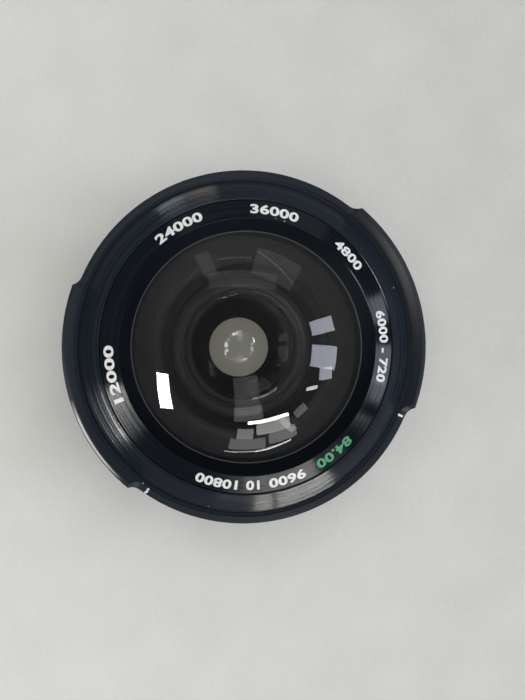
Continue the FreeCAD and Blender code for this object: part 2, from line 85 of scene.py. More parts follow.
def calc(tree, operation, *terms):
    """Give the output of a Math node that works on these terms."""
    return add(tree, "ShaderNodeMath", dict(enumerate(terms)), operation=operation).outputs[0]


def measure(tree, operation, *vectors):
    """Give the number that a Vector Math node finds, such as a length, a distance or a dot product."""
    return add(tree, "ShaderNodeVectorMath", dict(enumerate(vectors)), operation=operation).outputs["Value"]


def mottle(tree, place, scale, detail):
    """Give a soft noise of 0 to 1, read at this place."""
    return add(tree, "ShaderNodeTexNoise", {"Vector": place, "Scale": scale, "Detail": detail}).outputs["Fac"]


def own_place(tree):
    """Give the place of the point being shaded, on the piece's own axes."""
    return add(tree, "ShaderNodeTexCoord").outputs["Object"]


def axes_of(tree, vector):
    """Give a vector's X, Y and Z, by name."""
    return add(tree, "ShaderNodeSeparateXYZ", {0: vector}).outputs


def new_group(name, kind, sockets):
    """Make an empty node group whose inputs and outputs are listed as (name, IN or OUT, type, default)."""
    group = bpy.data.node_groups.new(name, kind)
    for label, way, socket_type, default in sockets:
        socket = group.interface.new_socket(label, in_out=way, socket_type=socket_type)
        if default is not None:
            socket.default_value = default
    return group


# %% [markdown]
# ## Turned metal
#
# All the metal here was cut on a lathe, so its marks are rings round the axis, however the surface
# slopes. An image could hold them, but it would need unwrapping and would blur up close. A noise that is
# read at (distance from the axis, height) instead of at (x, y, z) gives the same value all the way round,
# which is exactly a turning mark. A little of the direction goes into the noise as well, so that a line
# fades in and out round the ring as real ones do.


# %% Group: turning marks
BANDS_PER_LINE = 0.12


def make_turning_marks():
    """Rings round Z: Lines, fine, and Bands, broad, are 0 to 1, and Away is the distance from the axis."""
    group = new_group("turning_marks", "ShaderNodeTree", [
        ("Pitch", "INPUT", "NodeSocketFloat", 0.1 * MM),
        ("Wander", "INPUT", "NodeSocketFloat", 0.5),
        ("Lines", "OUTPUT", "NodeSocketFloat", None),
        ("Bands", "OUTPUT", "NodeSocketFloat", None),
        ("Away", "OUTPUT", "NodeSocketFloat", None),
    ])
    entry = add(group, "NodeGroupInput")
    place = own_place(group)
    flat = add(group, "ShaderNodeVectorMath", {0: place, 1: (1, 1, 0)}, operation="MULTIPLY").outputs[0]
    away = measure(group, "LENGTH", flat)
    heading = add(group, "ShaderNodeVectorMath", {0: flat}, operation="NORMALIZE").outputs[0]
    sideways = axes_of(group, heading)
    column = calc(group, "DIVIDE", away, entry.outputs["Pitch"])
    row = calc(group, "DIVIDE", axes_of(group, place)["Z"], entry.outputs["Pitch"])
    drift_x = calc(group, "MULTIPLY", sideways["X"], entry.outputs["Wander"])
    drift_y = calc(group, "MULTIPLY", sideways["Y"], entry.outputs["Wander"])
    leave = add(group, "NodeGroupOutput")
    for label, coarse in (("Lines", 1.0), ("Bands", BANDS_PER_LINE)):
        spot = add(group, "ShaderNodeCombineXYZ", {
            "X": calc(group, "MULTIPLY", column, coarse),
            "Y": calc(group, "MULTIPLY", row, coarse),
            "Z": drift_x,
        }).outputs[0]
        noise = add(group, "ShaderNodeTexNoise", {"Vector": spot, "W": drift_y, "Scale": 1.0, "Detail": 2.0},
                    noise_dimensions="4D")
        group.links.new(noise.outputs["Fac"], leave.inputs[label])
    group.links.new(away, leave.inputs["Away"])
    return group


TURNING_MARKS = make_turning_marks()

# %% [markdown]
# ## Dust, nicks and painted glints
#
# The lens has been used: a few pale specks of dust lie on it, and its milled corners show nicks of bare
# metal. The pale spots at the two ends of one cut-down are painted glints on its fillets, made like the
# nicks.
# Dust comes from a cell pattern in which only the few cells with a low random number keep a spot at their
# middle. The nicks and glints are where they are, so they are spheres of influence round known points.


# %% Group: dust
LARGEST_SPECK = 0.12


def make_dust():
    """Sparse specks: Speck is 1 on a speck and 0 elsewhere."""
    group = new_group("dust", "ShaderNodeTree", [
        ("Spacing", "INPUT", "NodeSocketFloat", 1.0 * MM),
        ("Share", "INPUT", "NodeSocketFloat", 0.1),
        ("Speck", "OUTPUT", "NodeSocketFloat", None),
    ])
    entry = add(group, "NodeGroupInput")
    cells = calc(group, "DIVIDE", 1.0, entry.outputs["Spacing"])
    cell = add(group, "ShaderNodeTexVoronoi", {"Vector": own_place(group), "Scale": cells}, feature="F1")
    chance = add(group, "ShaderNodeSeparateColor", {0: cell.outputs["Color"]})
    kept = calc(group, "LESS_THAN", chance.outputs[0], entry.outputs["Share"])
    reach = calc(group, "MULTIPLY", chance.outputs[1], LARGEST_SPECK)
    near = calc(group, "LESS_THAN", cell.outputs["Distance"], reach)
    leave = add(group, "NodeGroupOutput")
    group.links.new(calc(group, "MULTIPLY", kept, near), leave.inputs["Speck"])
    return group


DUST = make_dust()

# %% [markdown]
# The chips are given as the photograph gives them: a heading round the lens, a distance from the axis and
# a height. Headings count from +X, anticlockwise seen from the front. The lip's round edge carries a painted
# highlight as well: a paler line, but only over a short arc.

# %% Group: chips, painted glints and the lip's painted highlight
# painted highlight on the lip's round edge: where it lies and how pale it is made
LIP_HIGHLIGHT_INSIDE = 39.30 * MM
LIP_HIGHLIGHT_OUTSIDE = 39.80 * MM
LIP_HIGHLIGHT_HEIGHT = 32.35 * MM
LIP_HIGHLIGHT_HEADING = math.radians(106.5)
LIP_HIGHLIGHT_ARC = math.radians(15)
LIP_HIGHLIGHT_PALENESS = 0.55
CHIP_RAGGEDNESS = 0.9
CHIPS = (
    # the six rows near headings 128 to 131 and 231 are painted glints on the fillets at the two ends of a
    # cut-down; the others are nicks
    # heading in degrees, distance from the axis, height, reach
    (130.5, 37.7 * MM, 31.0 * MM, 0.50 * MM),
    (130.5, 38.2 * MM, 31.1 * MM, 0.60 * MM),
    (130.3, 38.7 * MM, 31.2 * MM, 0.60 * MM),
    (231.2, 37.7 * MM, 31.0 * MM, 0.60 * MM),
    (231.2, 38.3 * MM, 31.1 * MM, 0.50 * MM),
    (128.0, 37.2 * MM, 31.0 * MM, 0.45 * MM),
    (103.4, 37.0 * MM, 31.0 * MM, 0.30 * MM),
    (276.7, 35.6 * MM, 31.8 * MM, 0.30 * MM),
    (290.5, 37.9 * MM, 31.2 * MM, 0.35 * MM),
    (34.9, 34.5 * MM, 32.8 * MM, 0.25 * MM),
    (151.9, 36.0 * MM, 31.5 * MM, 0.30 * MM),
    (146.4, 33.6 * MM, 33.5 * MM, 0.28 * MM),
    (328.5, 28.2 * MM, 35.7 * MM, 0.30 * MM),
    (332.5, 28.2 * MM, 35.7 * MM, 0.25 * MM),
)


def make_chips_and_glints():
    """Chip And Glint is 1 inside the nicks and the painted glints, with a ragged edge, reaches the lip's
    paleness on its painted highlight, and is 0 elsewhere.
    """
    group = new_group("chips", "ShaderNodeTree", [("Chip And Glint", "OUTPUT", "NodeSocketFloat", None)])
    place = own_place(group)
    ragged = mottle(group, place, scale=2600.0, detail=3.0)
    bare = 0.0
    for heading, away, height, reach in CHIPS:
        turn = math.radians(heading)
        spot = (away * math.cos(turn), away * math.sin(turn), height)
        gap = measure(group, "DISTANCE", place, spot)
        inside = calc(group, "SUBTRACT", 1.0, calc(group, "DIVIDE", gap, reach))
        bare = calc(group, "MAXIMUM", bare, inside)
    chips_and_glints = calc(group, "GREATER_THAN", bare, calc(group, "MULTIPLY", ragged, CHIP_RAGGEDNESS))
    parts = axes_of(group, place)
    away = calc(group, "SQRT", calc(
        group, "MULTIPLY_ADD", parts["X"], parts["X"], calc(group, "MULTIPLY", parts["Y"], parts["Y"])))
    past_inside = calc(group, "GREATER_THAN", away, LIP_HIGHLIGHT_INSIDE)
    before_outside = calc(group, "LESS_THAN", away, LIP_HIGHLIGHT_OUTSIDE)
    on_top = calc(group, "GREATER_THAN", parts["Z"], LIP_HIGHLIGHT_HEIGHT)
    on_lip = calc(group, "MULTIPLY", calc(group, "MULTIPLY", past_inside, before_outside), on_top)
    middle = (math.cos(LIP_HIGHLIGHT_HEADING), math.sin(LIP_HIGHLIGHT_HEADING), 0)
    in_arc = add(group, "ShaderNodeMapRange", {
        "Value": calc(group, "DIVIDE", measure(group, "DOT_PRODUCT", place, middle), away),
        "From Min": math.cos(LIP_HIGHLIGHT_ARC), "From Max": math.cos(LIP_HIGHLIGHT_ARC / 2)}).outputs[0]
    # painted highlight: a paler line on the lip's round edge over a short arc
    painted_lip_highlight = calc(group, "MULTIPLY", calc(group, "MULTIPLY", on_lip, in_arc), LIP_HIGHLIGHT_PALENESS)
    leave = add(group, "NodeGroupOutput")
    group.links.new(calc(group, "MAXIMUM", chips_and_glints, painted_lip_highlight), leave.inputs["Chip And Glint"])
    return group


CHIP_AND_GLINT_MARKS = make_chips_and_glints()
# the count takes in the painted glints at the ends of a cut-down as well
print("chips of bare metal:", len(CHIPS))

# %% [markdown]
# ## The black metals
#
# Anodised aluminium is not paint: the dye sits in the metal's own skin, so the turning marks show
# through it as a satin sheen. One function makes every such finish from its colour, its roughness and how
# strong the marks are. The sheen of a turned face is stretched across the marks: a lamp shows as a sharp
# wedge that runs from the glass to the rim. The tangent runs round the axis, and a quarter turn of the
# anisotropic stretch sets it across. The name ring's bore is painted dead black against stray light, and
# the shell is rougher from the foot of its lips outwards.


# %% Black metal finish
def new_material(name):
    """Give a material with an empty tree and its shader, already joined to the output."""
    material = bpy.data.materials.new(name)
    material.use_nodes = True
    tree = material.node_tree
    tree.nodes.clear()
    shader = add(tree, "ShaderNodeBsdfPrincipled")
    output = add(tree, "ShaderNodeOutputMaterial")
    tree.links.new(shader.outputs[0], output.inputs["Surface"])
    return material, tree, shader


def span(tree, value, low, high):
    """Stretch a 0 to 1 value to low..high."""
    return add(tree, "ShaderNodeMapRange", {"Value": value, "To Min": low, "To Max": high}).outputs[0]


def blend(tree, share, first, second):
    """Mix two colours by a 0 to 1 share."""
    mix = add(tree, "ShaderNodeMix", data_type="RGBA")
    for socket, source in zip((mix.inputs[0], mix.inputs[6], mix.inputs[7]), (share, first, second)):
        fill(tree, socket, source)
    return mix.outputs[2]


QUARTER_TURN = 0.25
LINE_CONTRAST = (0.35, 0.65)
LINE_ROUGHNESS = 0.05
SMUDGE_ROUGHNESS = 0.03
SPECK_HEIGHT = 4.0
# the pale colour of nicks of bare metal, also given to the painted glints and to the lip's painted highlight
CHIP_AND_GLINT_COLOUR = (0.85, 0.85, 0.83, 1)
CHIP_AND_GLINT_ROUGHNESS = 0.4
CHIP_AND_GLINT_METALLIC = 0.2
DUST_COLOUR = (0.35, 0.35, 0.34, 1)
DEEP_BLACK = (0.0105, 0.0140, 0.0185, 1)
DEEP_ROUGHNESS = 0.85
PALE_EDGE = (0.038, 0.041, 0.046, 1)
FAR_ROUGHNESS = 0.55


def black_metal(name, dark, pale, roughness, marks, pitch, dusty=0.02, chips_and_glints=False, stretch=0.9, shine=0.5,
                black_within=None, edge_within=None, matt_beyond=None):
    """A dyed, turned metal; if asked, dead black near the axis, pale on its inner edge, matt far out."""
    material, tree, shader = new_material(name)
    turned = add(tree, "ShaderNodeGroup", node_tree=TURNING_MARKS)
    turned.inputs["Pitch"].default_value = pitch
    lines = add(tree, "ShaderNodeMapRange", {
        "Value": turned.outputs["Lines"],
        "From Min": LINE_CONTRAST[0], "From Max": LINE_CONTRAST[1]}).outputs[0]
    bands, away = turned.outputs["Bands"], turned.outputs["Away"]
    smudge = mottle(tree, own_place(tree), scale=90.0, detail=3.0)
    specks = add(tree, "ShaderNodeGroup", node_tree=DUST)
    specks.inputs["Share"].default_value = dusty
    colour = blend(tree, calc(tree, "MULTIPLY", lines, bands), dark, pale)
    colour = blend(tree, specks.outputs["Speck"], colour, DUST_COLOUR)
    rough = span(tree, lines, roughness - LINE_ROUGHNESS, roughness + LINE_ROUGHNESS)
    for unevenness in (smudge, bands):
        rough = calc(tree, "ADD", rough, span(tree, unevenness, -SMUDGE_ROUGHNESS, SMUDGE_ROUGHNESS))

    def at_least(value, where, least):
        """Raise a value to this least one where a 0 to 1 mask is 1."""
        return calc(tree, "MAXIMUM", value, calc(tree, "MULTIPLY", where, least))

    metallic = 0.0
    if matt_beyond:
        rough = at_least(rough, calc(tree, "GREATER_THAN", away, matt_beyond), FAR_ROUGHNESS)
    if black_within:
        deep = calc(tree, "LESS_THAN", away, black_within)
        edge = calc(tree, "LESS_THAN", away, edge_within)
        colour = blend(tree, edge, blend(tree, deep, colour, DEEP_BLACK), PALE_EDGE)
        rough = at_least(rough, deep, DEEP_ROUGHNESS)
        metallic = calc(tree, "SUBTRACT", deep, edge)
    # pale nicks of bare metal, painted glints at the ends of a cut-down and the lip's painted highlight
    if chips_and_glints:
        bare = add(tree, "ShaderNodeGroup", node_tree=CHIP_AND_GLINT_MARKS).outputs["Chip And Glint"]
        colour = blend(tree, bare, colour, CHIP_AND_GLINT_COLOUR)
        rough = at_least(rough, bare, CHIP_AND_GLINT_ROUGHNESS)
        metallic = at_least(metallic, bare, CHIP_AND_GLINT_METALLIC)
    fill(tree, shader.inputs["Metallic"], metallic)
    height = calc(tree, "ADD", lines, calc(tree, "MULTIPLY", specks.outputs["Speck"], SPECK_HEIGHT))
    bump = add(tree, "ShaderNodeBump", {"Height": height, "Distance": marks, "Strength": 1.0})
    tangent = add(tree, "ShaderNodeTangent", direction_type="RADIAL", axis="Z")
    tree.links.new(colour, shader.inputs["Base Color"])
    tree.links.new(rough, shader.inputs["Roughness"])
    tree.links.new(bump.outputs[0], shader.inputs["Normal"])
    tree.links.new(tangent.outputs[0], shader.inputs["Tangent"])
    shader.inputs["Anisotropic"].default_value = stretch
    shader.inputs["Anisotropic Rotation"].default_value = QUARTER_TURN
    shader.inputs["Specular IOR Level"].default_value = shine
    return material


SHELL_METAL = black_metal(
    "shell_black", dark=(0.0085, 0.0128, 0.0195, 1), pale=(0.020, 0.027, 0.038, 1), roughness=0.18,
    marks=0.020 * MM, pitch=0.42 * MM, chips_and_glints=True, stretch=0.85, shine=0.3, matt_beyond=36.9 * MM)
RING_METAL = black_metal(
    "ring_black", dark=(0.0035, 0.0055, 0.0080, 1), pale=(0.009, 0.013, 0.018, 1), roughness=0.16,
    marks=0.006 * MM, pitch=0.35 * MM, chips_and_glints=True, stretch=0.85, shine=0.2,
    black_within=27.58 * MM, edge_within=25.12 * MM)
INNER_METAL = black_metal(
    "inner_black", dark=(0.004, 0.004, 0.004, 1), pale=(0.008, 0.008, 0.008, 1), roughness=0.60,
    marks=0.0020 * MM, pitch=0.14 * MM, dusty=0.0, stretch=0.3, shine=0.12)
SEAT_METAL = black_metal(
    "seat_black", dark=(0.009, 0.009, 0.009, 1), pale=(0.016, 0.016, 0.016, 1), roughness=0.60,
    marks=0.0020 * MM, pitch=0.14 * MM, dusty=0.0, stretch=0.3, shine=0.12)
SCREW_METAL = black_metal(
    "screw_black", dark=(0.020, 0.020, 0.022, 1), pale=(0.040, 0.040, 0.042, 1), roughness=0.30,
    marks=0.0010 * MM, pitch=0.06 * MM, dusty=0.0)

FINISHES = {
    "front_shell": SHELL_METAL,
    "adapter_ring": SHELL_METAL,
    "name_ring": RING_METAL,
    "front_seat_ring": SEAT_METAL,
    "second_element_ring": SEAT_METAL,
    "main_barrel": INNER_METAL,
    "light_trap_sleeve": INNER_METAL,
    "rear_cell": INNER_METAL,
    "rear_retaining_ring": INNER_METAL,
    "set_screws": SCREW_METAL,
}
for node_name, finish in FINISHES.items():
    node = NODES[node_name]
    node.data.materials.clear()
    node.data.materials.append(finish)
print("metal nodes finished:", len(FINISHES))

# %% [markdown]
# ## Glass
#
# Glass is mostly what it bends and mirrors. The shader needs no pattern, only the right index and true
# surfaces, but the faces have to be closed, because light counts the way in and the way out. Lamps could
# not light the black rings behind the glass, since a ray to a lamp counts glass as a wall, so for those
# rays alone the material turns transparent. The ground rims and the flat back of the front element are
# painted black, as in every good lens, and have a material of their own.


# %% Glass and its black paint
def glass(name, tint, index, mirrored=1.0):
    """Clear polished glass of this refractive index; a coating leaves this share of what it would mirror."""
    material, tree, shader = new_material(name)
    shader.inputs["Base Color"].default_value = tint
    shader.inputs["Specular Tint"].default_value = (mirrored, mirrored, mirrored, 1)
    shader.inputs["Roughness"].default_value = 0.0
    shader.inputs["IOR"].default_value = index
    shader.inputs["Transmission Weight"].default_value = 1.0
    clear = add(tree, "ShaderNodeBsdfTransparent", {"Color": tint})
    path = add(tree, "ShaderNodeLightPath")
    mix = add(tree, "ShaderNodeMixShader")
    tree.links.new(path.outputs["Is Shadow Ray"], mix.inputs[0])
    tree.links.new(shader.outputs[0], mix.inputs[1])
    tree.links.new(clear.outputs[0], mix.inputs[2])
    output = next(node for node in tree.nodes if node.type == "OUTPUT_MATERIAL")
    tree.links.new(mix.outputs[0], output.inputs["Surface"])
    return material


def edge_paint(name, thin, thick):
    """Matt paint of a ground edge, very slightly uneven: the colours are those of a thin and a thick coat."""
    material, tree, shader = new_material(name)
    blotch = mottle(tree, own_place(tree), scale=400.0, detail=4.0)
    tree.links.new(blend(tree, blotch, thin, thick), shader.inputs["Base Color"])
    shader.inputs["Roughness"].default_value = 0.8
    shader.inputs["Specular IOR Level"].default_value = 0.1
    return material


CROWN_INDEX = 1.52
CROWN_TINT = (0.98, 0.985, 0.97, 1)
FLINT_INDEX = 1.62
FLINT_TINT = (0.99, 0.985, 0.96, 1)
CROWN_GLASS = glass("crown_glass", CROWN_TINT, CROWN_INDEX)
COATED_GLASS = glass("coated_glass", CROWN_TINT, CROWN_INDEX, mirrored=0.05)
FLINT_GLASS = glass("flint_glass", FLINT_TINT, FLINT_INDEX)
EDGE_PAINT = edge_paint("edge_paint", (0.019, 0.019, 0.020, 1), (0.015, 0.015, 0.016, 1))
GROUND_RIM = edge_paint("ground_rim", (0.12, 0.13, 0.14, 1), (0.06, 0.065, 0.07, 1))

# %% [markdown]
# ## A lathe made of nodes
#
# Every piece of glass, and the threaded ring, is a profile turned about the axis. Blender's Screw
# modifier could turn it, but the ring also needs a thread and a knurl, and those follow a rule of angle
# and height. So the lathe is a Geometry Nodes tree: it lays a grid with one column for each step round
# and one row for each profile point, moves every grid point to its place by sine and cosine, cuts the
# thread and the knurl by shortening the distance from the axis, and merges the seam.


# %% Ends that both trees share
def round_axis(tree, away, turn, height):
    """Give the place at this distance from Z, this angle round it and this height."""
    return add(tree, "ShaderNodeCombineXYZ", {
        "X": calc(tree, "MULTIPLY", away, calc(tree, "COSINE", turn)),
        "Y": calc(tree, "MULTIPLY", away, calc(tree, "SINE", turn)),
        "Z": height,
    }).outputs[0]


def end_tree(tree, geometry, material, outlet):
    """Make a tree's geometry real, give it its material and lead it out."""
    real = add(tree, "GeometryNodeRealizeInstances", {"Geometry": geometry}).outputs[0]
    coated = add(tree, "GeometryNodeSetMaterial", {"Geometry": real, "Material": material}).outputs[0]
    leave = add(tree, "NodeGroupOutput")
    tree.links.new(coated, leave.inputs[outlet])
    return tree


# %% The lathe tree
TOUCH = 0.01 * MM
SEAM = 0.0005 * MM
KNURL_FLANK = 1.6


def make_lathe():
    """Turn the object's own vertices, a profile in X and Z, about Z; cut a thread and a knurl if asked."""
    number, whole = "NodeSocketFloat", "NodeSocketInt"
    tree = new_group("lathe", "GeometryNodeTree", [
        ("Profile", "INPUT", "NodeSocketGeometry", None),
        ("Steps", "INPUT", whole, 128),
        ("Sharp Angle", "INPUT", number, math.radians(30)),
        ("Thread Pitch", "INPUT", number, 1.0 * MM),
        ("Thread Depth", "INPUT", number, 0.0),
        ("Thread Bottom", "INPUT", number, 0.0),
        ("Thread Top", "INPUT", number, 0.0),
        ("Thread Radius", "INPUT", number, 1.0),
        ("Knurl Count", "INPUT", whole, 1),
        ("Knurl Depth", "INPUT", number, 0.0),
        ("Knurl Bottom", "INPUT", number, 0.0),
        ("Knurl Top", "INPUT", number, 0.0),
        ("Knurl Radius", "INPUT", number, 1.0),
        ("Material", "INPUT", "NodeSocketMaterial", None),
        ("Turned", "OUTPUT", "NodeSocketGeometry", None),
    ])
    entry = add(tree, "NodeGroupInput").outputs
    size = add(tree, "GeometryNodeAttributeDomainSize", {"Geometry": entry["Profile"]})
    count = size.outputs["Point Count"]
    columns = add(tree, "FunctionNodeIntegerMath", {0: entry["Steps"], 1: 1}, operation="ADD").outputs[0]
    grid = add(tree, "GeometryNodeMeshGrid", {"Vertices X": columns, "Vertices Y": count}).outputs["Mesh"]
    index = add(tree, "GeometryNodeInputIndex").outputs[0]
    row = add(tree, "FunctionNodeIntegerMath", {0: index, 1: count}, operation="MODULO").outputs[0]
    column = add(tree, "FunctionNodeIntegerMath", {0: index, 1: count}, operation="DIVIDE_FLOOR").outputs[0]
    place = add(tree, "GeometryNodeInputPosition").outputs[0]
    profile_point = add(tree, "GeometryNodeSampleIndex", {
        "Geometry": entry["Profile"], "Value": place, "Index": row}, data_type="FLOAT_VECTOR").outputs[0]
    parts = axes_of(tree, profile_point)
    share = calc(tree, "DIVIDE", column, entry["Steps"])
    turn = calc(tree, "MULTIPLY", share, TAU)

    def within(low, high, radius):
        """1 on the turned band between two heights whose outside has this radius."""
        above = calc(tree, "GREATER_THAN", parts["Z"], low)
        below = calc(tree, "LESS_THAN", parts["Z"], high)
        outside = calc(tree, "COMPARE", parts["X"], radius, TOUCH)
        return calc(tree, "MULTIPLY", calc(tree, "MULTIPLY", above, below), outside)

    def wave(turns):
        """Rise from 0 to 1 and fall back once in each turn."""
        return calc(tree, "PINGPONG", calc(tree, "MULTIPLY", turns, 2.0), 1.0)

    def cut(shape, kind):
        """Give the depth of one kind of cut, which is 0 off its own band."""
        band = within(entry[kind + " Bottom"], entry[kind + " Top"], entry[kind + " Radius"])
        return calc(tree, "MULTIPLY", calc(tree, "MULTIPLY", shape, entry[kind + " Depth"]), band)

    climb = calc(tree, "DIVIDE", parts["Z"], entry["Thread Pitch"])
    thread_cut = cut(wave(calc(tree, "ADD", climb, share)), "Thread")
    tooth = calc(tree, "MULTIPLY", wave(calc(tree, "MULTIPLY", share, entry["Knurl Count"])), KNURL_FLANK)
    knurl_cut = cut(calc(tree, "SUBTRACT", 1.0, calc(tree, "MINIMUM", tooth, 1.0)), "Knurl")
    away = calc(tree, "SUBTRACT", calc(tree, "SUBTRACT", parts["X"], thread_cut), knurl_cut)
    spot = round_axis(tree, away, turn, parts["Z"])
    placed = add(tree, "GeometryNodeSetPosition", {"Geometry": grid, "Position": spot}).outputs[0]
    closed = add(tree, "GeometryNodeMergeByDistance", {"Geometry": placed, "Distance": SEAM}).outputs[0]
    bend = add(tree, "GeometryNodeInputMeshEdgeAngle").outputs["Unsigned Angle"]
    soft = calc(tree, "LESS_THAN", bend, entry["Sharp Angle"])
    faces = add(tree, "GeometryNodeSetShadeSmooth", {"Geometry": closed, "Shade Smooth": True}, domain="FACE")
    edges = add(tree, "GeometryNodeSetShadeSmooth", {
        "Geometry": faces.outputs[0], "Shade Smooth": soft}, domain="EDGE")
    return end_tree(tree, edges.outputs[0], entry["Material"], "Turned")


LATHE = make_lathe()


# %% Running a tree and keeping its mesh
def set_inputs(modifier, values):
    """Fill a Geometry Nodes modifier's inputs, given by name, through their identifiers."""
    sockets = modifier.node_group.interface.items_tree
    names = {socket.name: socket.identifier for socket in sockets if socket.in_out == "INPUT"}
    for name, value in values.items():
        modifier[names[name]] = value


def grow(name, start_mesh, tree, values):
    """Run a tree on a mesh and return a plain object of that name with the result."""
    seed = bpy.data.objects.new(name + "_seed", start_mesh)
    bpy.context.scene.collection.objects.link(seed)
    modifier = seed.modifiers.new(tree.name, "NODES")
    modifier.node_group = tree
    set_inputs(modifier, values)
    ready = seed.evaluated_get(bpy.context.evaluated_depsgraph_get())
    mesh = bpy.data.meshes.new_from_object(ready)
    mesh.name = name
    bpy.data.objects.remove(seed)
    piece = bpy.data.objects.new(name, mesh)
    bpy.context.scene.collection.objects.link(piece)
    return piece


def lathe(name, profile, steps, material, **cuts):
    """Turn a profile, a list of (distance from the axis, height), into a closed piece."""
    line = bpy.data.meshes.new(name + "_profile")
    edges = [(at, at + 1) for at in range(len(profile) - 1)]
    line.from_pydata([(away, 0, height) for away, height in profile], edges, [])
    values = {"Steps": steps, "Material": material}
    values.update({label.replace("_", " ").title(): value for label, value in cuts.items()})
    piece = grow(name, line, LATHE, values)
    shape = bmesh.new()
    shape.from_mesh(piece.data)
    bmesh.ops.recalc_face_normals(shape, faces=shape.faces)
    open_edges = sum(edge.is_boundary for edge in shape.edges)
    shape.to_mesh(piece.data)
    shape.free()
    print(name, "faces:", len(piece.data.polygons), "open edges:", open_edges)
    return piece


def paint_faces(piece, material, chosen):
    """Give one more material to the faces whose middle (away, height) passes a test."""
    piece.data.materials.append(material)
    newest = len(piece.data.materials) - 1
    for face in piece.data.polygons:
        middle = face.center
        if chosen(math.hypot(middle.x, middle.y), middle.z):
            face.material_index = newest


# %% [markdown]
# ## The four glass elements
#
# A lens surface is a piece of a sphere, so its height at a distance from the axis is one formula, the
# sagitta. A profile is then a few such curves joined by the flat and upright edges that the grinder
# leaves. The frame's boxes give each element's place and rim, and the radii of curvature are the lens
# maker's own numbers.


# %% Curves of glass
def surface(vertex, radius, start, end, points=48):
    """Points of a spherical surface from one distance to another; a positive radius domes upwards."""
    away_steps = [start + (end - start) * step / (points - 1) for step in range(points)]
    bulge = abs(radius)
    sags = [bulge - math.sqrt(bulge * bulge - away * away) for away in away_steps]
    lift = -1 if radius > 0 else 1
    return [(away, vertex + lift * sag) for away, sag in zip(away_steps, sags)]


def sag_of(radius, away):
    """How far a spherical surface has dropped at this distance from its middle."""
    return radius - math.sqrt(radius * radius - away * away)


GLASS_STEPS = 192
DOME_POINTS = 72
HOLLOW_POINTS = 64

# %% Front element
front_low, front_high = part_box("front_element")
FRONT_CURVE = 40.0 * MM
HOLLOW_CURVE = 20.5 * MM
HOLLOW_RIM = 18.2 * MM
RIM_BREAK = 0.15 * MM
NEAR = 0.3 * MM
PAINT_COAT = 0.02 * MM
front_rim = front_high.x - PAINT_COAT
front_back = front_low.z + PAINT_COAT
front_edge = front_high.z - sag_of(FRONT_CURVE, front_rim - RIM_BREAK)
hollow_top = front_back + sag_of(HOLLOW_CURVE, HOLLOW_RIM)
front_profile = surface(front_high.z, FRONT_CURVE, 0, front_rim - RIM_BREAK, DOME_POINTS)
front_profile += [(front_rim, front_edge - RIM_BREAK), (front_rim, front_back)]
front_profile += surface(hollow_top, HOLLOW_CURVE, HOLLOW_RIM, 0, HOLLOW_POINTS)
front_glass = lathe("front_glass", front_profile, GLASS_STEPS, CROWN_GLASS)
paint_faces(front_glass, EDGE_PAINT, lambda away, height: (
    away > HOLLOW_RIM and height < front_back + TOUCH) or away > front_rim - RIM_BREAK)
paint_faces(front_glass, GROUND_RIM, lambda away, height: (
    away > front_rim - RIM_BREAK and height > front_edge - RIM_BREAK))
paint_faces(front_glass, COATED_GLASS, lambda away, height: (
    away < HOLLOW_RIM and abs(height - hollow_top + sag_of(HOLLOW_CURVE, away)) < NEAR))

# %% Second element
second_low, second_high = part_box("second_element")
SECOND_FRONT_CURVE = 90.0 * MM
SECOND_BACK_CURVE = 30.0 * MM
SECOND_BACK_RIM = 15.2 * MM
SECOND_BEVEL = 0.4 * MM
CLEAR_EDGE = 0.2 * MM
second_rim = second_high.x - PAINT_COAT
second_foot = second_low.z + PAINT_COAT
second_front_middle = second_high.z - sag_of(SECOND_FRONT_CURVE, second_rim)
second_back_middle = second_foot + sag_of(SECOND_BACK_CURVE, SECOND_BACK_RIM)
second_profile = surface(second_front_middle, -SECOND_FRONT_CURVE, 0, second_rim)
second_profile += [(second_rim, second_foot + SECOND_BEVEL), (second_rim - SECOND_BEVEL, second_foot)]
second_profile += surface(second_back_middle, SECOND_BACK_CURVE, SECOND_BACK_RIM, 0)
second_glass = lathe("second_glass", second_profile, GLASS_STEPS, COATED_GLASS)
paint_faces(second_glass, EDGE_PAINT, lambda away, height: (
    away > SECOND_BACK_RIM and height < second_high.z - CLEAR_EDGE))

# %% Rear pair
crown_low, crown_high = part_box("rear_crown_element")
flint_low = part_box("rear_flint_element")[0]
CROWN_CURVE = 36.0 * MM
JUNCTION_CURVE = 30.0 * MM
FLINT_CURVE = 120.0 * MM
CEMENT = 0.02 * MM
pair_rim = crown_high.x
crown_profile = surface(crown_high.z, CROWN_CURVE, 0, pair_rim)
crown_profile += surface(crown_low.z, -JUNCTION_CURVE, pair_rim, 0)
crown_glass = lathe("rear_crown_glass", crown_profile, GLASS_STEPS, CROWN_GLASS)
paint_faces(crown_glass, EDGE_PAINT, lambda away, height: away > pair_rim - TOUCH)
flint_profile = surface(crown_low.z - CEMENT, -JUNCTION_CURVE, 0, pair_rim)
flint_profile += surface(flint_low.z, -FLINT_CURVE, pair_rim, 0)
flint_glass = lathe("rear_flint_glass", flint_profile, GLASS_STEPS, FLINT_GLASS)
paint_faces(flint_glass, EDGE_PAINT, lambda away, height: away > pair_rim - TOUCH)

GLASS_PIECES = {
    "front_element": front_glass,
    "second_element": second_glass,
    "rear_crown_element": crown_glass,
    "rear_flint_element": flint_glass,
}
for node_name, piece in GLASS_PIECES.items():
    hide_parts(node_name)
    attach(piece, "root")

# %% [markdown]
# ## The threaded adapter ring
#
# The ring at the back screws into the filter thread of a camera lens. Its thread is a helix of three and
# a half turns, and its rim is cut with straight notches for the fingers. Both follow a rule, so the lathe
# cuts them while it turns the ring. The thread's rows are less than a tenth of a pitch apart, so that the
# helix has clean flanks.

